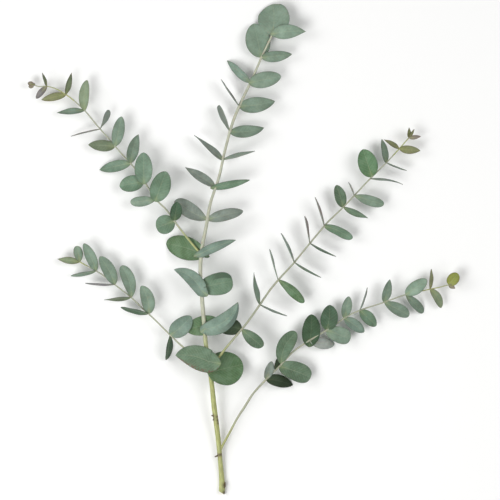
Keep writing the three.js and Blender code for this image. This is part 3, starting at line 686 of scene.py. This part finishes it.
# %% Node helpers
SMOOTH = {"interpolation_type": "SMOOTHSTEP"}
TIMES = {"operation": "MULTIPLY"}


def add_node(tree, kind, inputs=(), **settings):
    """Adds a node and returns its outputs. The inputs are a list in the node's order, or a dictionary."""
    node = tree.nodes.new("ShaderNode" + kind)
    for name, value in settings.items():
        setattr(node, name, value)
    for place, value in inputs.items() if isinstance(inputs, dict) else enumerate(inputs):
        if isinstance(value, bpy.types.NodeSocket):
            tree.links.new(value, node.inputs[place])
        else:
            node.inputs[place].default_value = value
    return node.outputs


def new_finish(name):
    finish = bpy.data.materials.new(name)
    finish.use_nodes = True
    finish.node_tree.nodes.clear()
    return finish, partial(add_node, finish.node_tree)


print("settings of a soft mask:", SMOOTH)

# %% [markdown]
# ## Leaf: living cuticle under a wax bloom
# The leaf's skin is cutin, as on any leathery leaf, with an IOR of about 1.45. Over it lies a bloom of fine
# wax that scatters light: it greys and pales the green and takes away nearly all gloss, so the roughness is
# high and a little sheen shows at low angles. The bloom is clouded in patches of about 9 mm, with a finer
# mottle of 2.2 mm. Side veins leave the midrib every 3 mm or so at about 50 degrees. Between them lies a net
# too fine for the render, so it is drawn at 1.6 mm, as coarse as it needs to show. Toward the base the midrib
# is yellow-green, and a thin dark line runs round the margin. Worked out from the attributes, veins stay
# sharp and follow each blade.

# %% The leaf's colours and measures
LEAF_COLOURS = {
    "bloom": "8E9D92", "net": "93A08F", "vein": "93A08F", "flush": "87935F", "rib": "A0AA8C", "rim": "3F4332",
    "under": "7E8E7E", "torn": "6B4A3C",
}
YOUNG_COLOURS = {
    "bloom": "979C88", "net": "9AA07A", "vein": "9AA07A", "flush": "8E9150", "rib": "A3A678", "rim": "553F2E",
    "under": "878B6E", "torn": "6B4A3C",
}
# The last cover is the strength of the painted shade on one half of a leaf.
COVER = {
    "net": 0.08, "vein": 0.18, "flush": 0.55, "rib": 0.32, "rim": 0.5, "under": 0.45, "torn": 0.8, "folded": 0.85,
}
PATCH, MOTTLE, NET, VEIN_SPACING = 9.0, 2.2, 1.6, 3.1
NET_LINE = 0.12
VEIN_LEAN, VEIN_WANDER = 0.85, 1.4  # a vein runs so far on for each millimetre out, and strays so far
VEIN_LINE = (0.02, 0.13)  # where a vein starts and ends to fade, as shares of the spacing
RIB_CORE, RIB_AT_BASE, RIB_AT_TIP = 0.1, 0.7, 0.2
print("veins every", VEIN_SPACING, "mm")

# %% [markdown]
# ## The pattern of a leaf
# Each part of the pattern is a mask from 0 to 1. A Map Range node makes it from a measure, such as the
# distance from the midrib, and fades it out between two values of that.

# %% The leaf's pattern
def leaf_pattern(put, rim_width):
    """The masks of the pattern, and the measures and noises that they are made from."""
    along, offset, half = put("SeparateXYZ", [put("Attribute", attribute_name="span")["Vector"]])
    share, across, _ = put("SeparateXYZ", [put("Attribute", attribute_name="blade")["Vector"]])
    spot = put("TexCoord")["Object"]
    patches = put("TexNoise", {"Vector": spot, "Scale": 1 / (PATCH * MM), "Detail": 3.0})["Fac"]
    mottle = put("TexNoise", {"Vector": spot, "Scale": 1 / (MOTTLE * MM), "Detail": 4.0})["Fac"]
    cells = put("TexVoronoi", {"Vector": spot, "Scale": 1 / (NET * MM)}, feature="DISTANCE_TO_EDGE")["Distance"]

    from_rib = put("Math", [offset], operation="ABSOLUTE")[0]
    to_margin = put("Math", [half, from_rib], operation="SUBTRACT")[0]
    lean = put("Math", [from_rib, VEIN_LEAN], **TIMES)[0]
    leaning = put("Math", [along, lean], operation="SUBTRACT")[0]
    wandering = put("Math", [mottle, VEIN_WANDER, leaning], operation="MULTIPLY_ADD")[0]
    veins_passed = put("Math", [wandering, VEIN_SPACING], operation="DIVIDE")[0]
    to_vein = put("Math", [veins_passed, 0.5], operation="PINGPONG")[0]
    rib_width = put("MapRange", [share, 0, 1, RIB_AT_BASE, RIB_AT_TIP])[0]
    near_base = put("MapRange", [along, 1, 10, 1, 0], **SMOOTH)[0]
    near_rib = put("MapRange", [from_rib, 0.2, 3.5, 0.75, 0.1], **SMOOTH)[0]
    masks = {
        "bloom": put("MapRange", [patches, 0.42, 0.7, 0, 1], **SMOOTH)[0],
        "net": put("MapRange", [cells, 0, NET_LINE, 1, 0])[0],
        "vein": put("MapRange", [to_vein, *VEIN_LINE, 1, 0], **SMOOTH)[0],
        "flush": put("Math", [near_base, near_rib], **TIMES)[0],
        "rib": put("MapRange", [from_rib, RIB_CORE, rib_width, 1, 0], **SMOOTH)[0],
        "rim": put("MapRange", [to_margin, 0, rim_width, 1, 0], **SMOOTH)[0],
    }
    return masks, share, across, to_margin, patches, mottle


def torn_and_shaded_places(put, share, across, mottle):
    """Masks of the torn spots along one margin of a worn leaf, and of painted shade on the far part of one half.
    """
    worn = put("Attribute", attribute_name="worn")["Fac"]
    fold = put("Attribute", attribute_name="fold")["Fac"]
    in_spots = put("MapRange", [mottle, 0.42, 0.56, 0, COVER["torn"]], **SMOOTH)[0]
    at_margin = put("MapRange", [across, 0.6, 0.95, 0, 1], **SMOOTH)[0]
    torn = put("Math", [in_spots, at_margin], **TIMES)[0]
    torn = put("Math", [torn, worn], **TIMES)[0]
    # Painted shade: the chosen half is darkened from about 0.4 of the way to its margin and from a third of its
    # length on.
    toward_shaded_half = put("Math", [across, fold], **TIMES)[0]
    in_shaded_half = put("MapRange", [toward_shaded_half, 0.4, 0.52, 0, COVER["folded"]], **SMOOTH)[0]
    far_part = put("MapRange", [share, 0.3, 0.6, 0, 1], **SMOOTH)[0]
    return torn, put("Math", [in_shaded_half, far_part], **TIMES)[0]


# %% [markdown]
# ## The colour of a leaf
# The leaf's own tone lies at the bottom, clouded and mottled, and darkened near the margin with painted shade.
# The tints of the pattern are laid over it one by one, like thin coats of paint; the last coat is painted shade
# on the far part of one half. A dark leaf has thin bloom and faint veins, so it gets less of them.

# %% The leaf's finish
def waxy_leaf(name, hexes, bloom_share, rim_width):
    """The leaf's finish, for given tints, strength of the bloom and width of the dark line in millimetres."""
    finish, put = new_finish(name)
    tint = {key: colour(code) for key, code in hexes.items()}
    masks, share, across, to_margin, patches, mottle = leaf_pattern(put, rim_width)
    torn, folded = torn_and_shaded_places(put, share, across, mottle)
    tone = put("Attribute", attribute_name="tone")["Color"]
    upper_face = put("Attribute", attribute_name="upper_face")["Fac"]
    cloud = put("MapRange", [patches, 0.3, 0.7, 0.82, 1.16])[0]
    dust = put("MapRange", [mottle, 0.3, 0.7, 1.08, 0.9])[0]
    # Painted shade: each blade is darkened within 3 mm of its margin, as a curved blade shades its edge.
    painted_margin_shade = put("MapRange", [to_margin, 0, 3, 0.84, 1], **SMOOTH)[0]
    clouded_and_margin_shaded = put("Math", [cloud, dust], **TIMES)[0]
    clouded_and_margin_shaded = put("Math", [clouded_and_margin_shaded, painted_margin_shade], **TIMES)[0]
    green = put("VectorMath", {0: tone, "Scale": clouded_and_margin_shaded}, operation="SCALE")[0]
    # Painted shade: half the leaf's own tone, laid on the far part of one half.
    shade = put("VectorMath", {0: tone, "Scale": 0.5}, operation="SCALE")[0]
    brightness = put("RGBToBW", [tone])[0]
    paler = put("MapRange", [brightness, 0.02, 0.16, 0.15, 1])[0]

    coats = []
    for key, cover in {"bloom": bloom_share, **COVER}.items():
        if key in masks:
            strength = put("Math", [masks[key], cover], **TIMES)[0]
            if key != "rim":
                strength = put("Math", [strength, paler], **TIMES)[0]
            coats.append((strength, tint[key]))
    coats.append((put("MapRange", [upper_face, 0, 1, COVER["under"], 0])[0], tint["under"]))
    # The torn spots are real damage; the last coat is painted shade on the far part of one half.
    coats += [(torn, tint["torn"]), (folded, shade)]
    for strength, coat in coats:
        green = put("Mix", {0: strength, 6: green, 7: coat}, data_type="RGBA")[2]

    relief = put("Math", [masks["vein"], 0.7, mottle], operation="MULTIPLY_ADD")[0]
    shader = put("BsdfPrincipled", {
        "Base Color": green, "Roughness": put("MapRange", [patches, 0, 1, 0.54, 0.72])[0],
        "Normal": put("Bump", {"Height": relief, "Strength": 0.35, "Distance": 0.12 * MM})[0], "IOR": 1.45,
        "Sheen Weight": 0.07, "Sheen Roughness": 0.5, "Subsurface Weight": 0.1, "Subsurface Scale": 0.5 * MM,
    })
    put("OutputMaterial", {"Surface": shader[0]})
    return finish


leaf_finish = waxy_leaf("waxy_eucalyptus_leaf", LEAF_COLOURS, bloom_share=0.18, rim_width=0.5)
young_finish = waxy_leaf("young_olive_leaf", YOUNG_COLOURS, bloom_share=0.12, rim_width=1.0)
print("made", leaf_finish.name, "and", young_finish.name)

# %% [markdown]
# ## Twig: green bark
# First-year bark is still green: a thin living skin with a satin gloss, over pale wood. It is yellow-green
# where it is oldest and greys to a pale beige farther along. Streaks, darker and paler, run along it, about 5
# mm long and 1 mm wide. Old scars, dry spurs and the rings at the pairs are brown and rough. Where the branch
# was cut, the wood shows, cream with a ring of bark.

# %% The twig's finish
STREAK_LENGTH, STREAK_SCALE, GRAIN = 12.0, 2.2, 0.8
SCAR_COLOUR, WOOD_COLOUR = "5C4E3A", "CDBE93"


def green_bark(name, old, young, turns):
    """Bark that turns from the old colour to the young one between two distances along the twig."""
    finish, put = new_finish(name)
    gone, around, _ = put("SeparateXYZ", [put("Attribute", attribute_name="run")["Vector"]])
    mark = put("Attribute", attribute_name="mark")["Fac"]
    wood = put("Attribute", attribute_name="wood")["Fac"]
    spot = put("TexCoord")["Object"]
    stretched = put("CombineXYZ", [
        put("Math", [gone, STREAK_LENGTH], operation="DIVIDE")[0], put("Math", [around], operation="COSINE")[0],
        put("Math", [around], operation="SINE")[0]])[0]
    streaks = put("TexNoise", {"Vector": stretched, "Scale": STREAK_SCALE, "Detail": 4.0})["Fac"]
    grain = put("TexNoise", {"Vector": spot, "Scale": 1 / (GRAIN * MM), "Detail": 2.0})["Fac"]
    rough_grain = put("Math", [grain, 0.6], operation="ADD")[0]
    scar = put("Math", [mark, rough_grain], **TIMES, use_clamp=True)[0]
    age = put("MapRange", [gone, *turns, 0, 1], **SMOOTH)[0]
    lightness = put("MapRange", [streaks, 0.3, 0.7, 1.22, 0.74])[0]
    skin = put("Mix", {0: age, 6: colour(old), 7: colour(young)}, data_type="RGBA")[2]
    skin = put("VectorMath", {0: skin, "Scale": lightness}, operation="SCALE")[0]
    skin = put("Mix", {0: scar, 6: skin, 7: colour(SCAR_COLOUR)}, data_type="RGBA")[2]
    skin = put("Mix", {0: wood, 6: skin, 7: colour(WOOD_COLOUR)}, data_type="RGBA")[2]
    relief = put("Math", [streaks, grain], operation="ADD")[0]
    shader = put("BsdfPrincipled", {
        "Base Color": skin, "Roughness": put("MapRange", [scar, 0, 1, 0.5, 0.85], **SMOOTH)[0], "IOR": 1.45,
        "Normal": put("Bump", {"Height": relief, "Strength": 0.25, "Distance": 0.1 * MM})[0],
        "Subsurface Weight": 0.1, "Subsurface Scale": 0.8 * MM,
    })
    put("OutputMaterial", {"Surface": shader[0]})
    return finish


main_bark = green_bark("green_main_bark", old="A4A86D", young="B2B4A0", turns=(135, 190))
shoot_bark = green_bark("green_shoot_bark", old="A2A670", young="A3A690", turns=(15, 45))
print("made", main_bark.name, "and", shoot_bark.name)

# %% [markdown]
# ## Putting the leader together
# The blades become one piece and the twig with its spurs another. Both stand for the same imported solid.

# %% The leader's pieces
SPUR_SWELL = 1.3  # a dry spur is cracked open and thicker
SPUR_BROWN = 0.95


def blades_of(stem, pairs):
    return [blade_shell(blade, stem, p["at"]) for p in pairs for blade in p["leaves"]]


stem = Stem(LEADER["points"])
piece("leader_leaves", blades_of(stem, LEADER["pairs"]), leaf_finish, "leader")
twigs = [twig(stem, 0, 1, LEADER["pairs"], LEADER["marks"], cut=True)]
for points in LEADER["twigs"]:
    spur = Stem([(x, y, z, SPUR_SWELL * diameter) for x, y, z, diameter in points])
    twigs.append(twig(spur, 0, 1, brown=SPUR_BROWN))
piece("leader_twig", twigs, main_bark, "leader")

# %% [markdown]
# ## The closed bud
# The upper left shoot ends in a bud: two young leaves, still pressed face to face around the growing point. A
# pair of cupped halves that meet in a seam is made as one pointed egg with a groove along it. Its measures
# keep the midrib and dark margin of the finish off it.

# %% The bud
BUD_SCALE, BUD_SEAM = "877C79", "727648"
BUD_ROWS, BUD_SIDES = 20, 24
GROOVE_DEPTH, GROOVE_REACH, SEAM_HALF_WIDTH = 0.16, 0.28, 0.45
BUD_TAPER = 0.28
CLEAR_OF_RIB, CLEAR_OF_MARGIN = 3.0, 5.0


def closed_bud(middle, length, diameter):
    """A closed egg along x, blunt at one end and pointed at the other, with a groove on both sides."""
    along = np.linspace(0, np.pi, BUD_ROWS + 1)[:, None]
    angle = np.linspace(0, 2 * np.pi, BUD_SIDES, endpoint=False)[None]
    groove = 1 - GROOVE_DEPTH * np.exp(-((np.cos(angle) / GROOVE_REACH) ** 2))
    taper = 1 - BUD_TAPER * np.cos(along)
    radius = diameter / 2 * np.sin(along) * groove * np.where(along < np.pi / 2, taper, 1)
    x = np.broadcast_to(-np.cos(along) * length / 2, radius.shape)
    points = np.stack([x, radius * np.cos(angle), radius * np.sin(angle)], -1).reshape(-1, 3) + on_branch(*middle)
    count = len(points)
    grid = np.arange(count).reshape(-1, BUD_SIDES)
    after = np.roll(grid, -1, axis=1)
    share = np.broadcast_to(along / np.pi, radius.shape).ravel()
    seam = np.broadcast_to(np.cos(angle), radius.shape).ravel()
    return {
        "points": points, "faces": quads(grid[:-1], grid[1:], after[1:], after[:-1]),
        "blade": np.stack([share, seam, np.full(count, 0.3)], 1),
        "span": np.stack([share * length, CLEAR_OF_RIB + seam, np.full(count, CLEAR_OF_MARGIN)], 1),
        "tone": np.where(np.abs(seam)[:, None] > SEAM_HALF_WIDTH, colour(BUD_SCALE), colour(BUD_SEAM)),
        "upper_face": np.ones(count), "worn": np.zeros(count), "fold": np.zeros(count),
    }


print("the bud is", UPPER_LEFT["bud"]["length"], "mm long")

# %% [markdown]
# ## Putting the shoots together
# A shoot has the same two pieces as the leader. Its young tip has two more: leaves in the young finish, and
# the end of the twig, which goes on with no step because both parts are made on one line.

# %% The shoots' pieces
for name, shoot in SHOOTS.items():
    stem = Stem(shoot["points"])
    tip_from = stem.nearest(*shoot["tip_from"])
    piece(f"{name}_leaves", blades_of(stem, shoot["pairs"]), leaf_finish, f"{name}_shoot")
    old_twig = twig(stem, 0, tip_from, shoot["pairs"], blunt=False)
    piece(f"{name}_twig", [old_twig], shoot_bark, f"{name}_shoot")
    blades = blades_of(stem, shoot["tip_pairs"])
    if "bud" in shoot:
        blades.append(closed_bud(**shoot["bud"]))
    piece(f"{name}_young_leaves", blades, young_finish, f"{name}_tip")
    young_twig = twig(stem, tip_from, 1, shoot["tip_pairs"])
    piece(f"{name}_young_twig", [young_twig], shoot_bark, f"{name}_tip")

# %% [markdown]
# ## Floor, light and camera
# The branch was pictured from straight above, on white. Its soft shadows lie up and to the right of each
# leaf, so the strongest of three soft lights stands at the lower left, and the others fill in from the right
# and the left. A long lens far away keeps what stands high from growing bigger than what lies low. The floor
# is matt white card.

# %% Floor
FLOOR_SIZE = 12.0
corners = [(x * FLOOR_SIZE / 2, y * FLOOR_SIZE / 2, 0) for x, y in ((-1, -1), (1, -1), (1, 1), (-1, 1))]
floor_mesh = bpy.data.meshes.new("floor")
floor_mesh.from_pydata(corners, [], [(0, 1, 2, 3)])
floor = bpy.data.objects.new("floor", floor_mesh)
bpy.context.scene.collection.objects.link(floor)
card, put = new_finish("matt_white_card")
card_shader = put("BsdfPrincipled", {"Base Color": colour("F4F4F3"), "Roughness": 0.9})
put("OutputMaterial", {"Surface": card_shader[0]})
floor_mesh.materials.append(card)
print("floor in metres:", FLOOR_SIZE)

# %% Lights
LIGHT_DISTANCE, SOFTBOX_SIZE = 2.4, 1.2
WORLD_LIGHT = 0.275


def soft_light(name, turned, raised, light_on_floor):
    """A square soft light, aimed at the branch, turned anticlockwise from the right and raised from the floor."""
    turn, lift = math.radians(turned), math.radians(raised)
    towards = Vector((math.cos(lift) * math.cos(turn), math.cos(lift) * math.sin(turn), math.sin(lift)))
    lamp = bpy.data.lights.new(name, "AREA")
    lamp.shape = "SQUARE"
    lamp.size = SOFTBOX_SIZE
    lamp.energy = light_on_floor * math.pi * LIGHT_DISTANCE**2 / math.sin(lift)
    made = bpy.data.objects.new(name, lamp)
    made.location = towards * LIGHT_DISTANCE
    made.rotation_euler = towards.to_track_quat("Z", "Y").to_euler()
    bpy.context.scene.collection.objects.link(made)
    print(f"{name}: {lamp.energy:.0f} W")


soft_light("key_softbox", turned=218, raised=52, light_on_floor=1.42)
soft_light("right_softbox", turned=12, raised=55, light_on_floor=0.92)
soft_light("left_softbox", turned=165, raised=40, light_on_floor=0.62)
world = bpy.context.scene.world or bpy.data.worlds.new("studio")
bpy.context.scene.world = world
world.use_nodes = True
world.node_tree.nodes["Background"].inputs["Color"].default_value = (1, 1, 1, 1)
world.node_tree.nodes["Background"].inputs["Strength"].default_value = WORLD_LIGHT

# %% Camera
CAMERA_HEIGHT = 5.0
SCALE_HEIGHT = 0.018  # the height at which one pixel of the picture is one millimetre
FIELD = 0.5
SENSOR_WIDTH = 36
FARTHEST = 50
VIEW_MIDDLE = on_branch(250, 250, 0)[:2] * MM
lens = bpy.data.cameras.new("overhead")
lens.sensor_width = SENSOR_WIDTH
lens.lens = SENSOR_WIDTH * (CAMERA_HEIGHT - SCALE_HEIGHT) / FIELD
lens.clip_end = FARTHEST
camera = bpy.data.objects.new("overhead", lens)
camera.location = (*VIEW_MIDDLE, CAMERA_HEIGHT)
bpy.context.scene.collection.objects.link(camera)
bpy.context.scene.camera = camera
print("lens in mm:", round(lens.lens))
bpy.context.scene.view_settings.view_transform = "Standard"
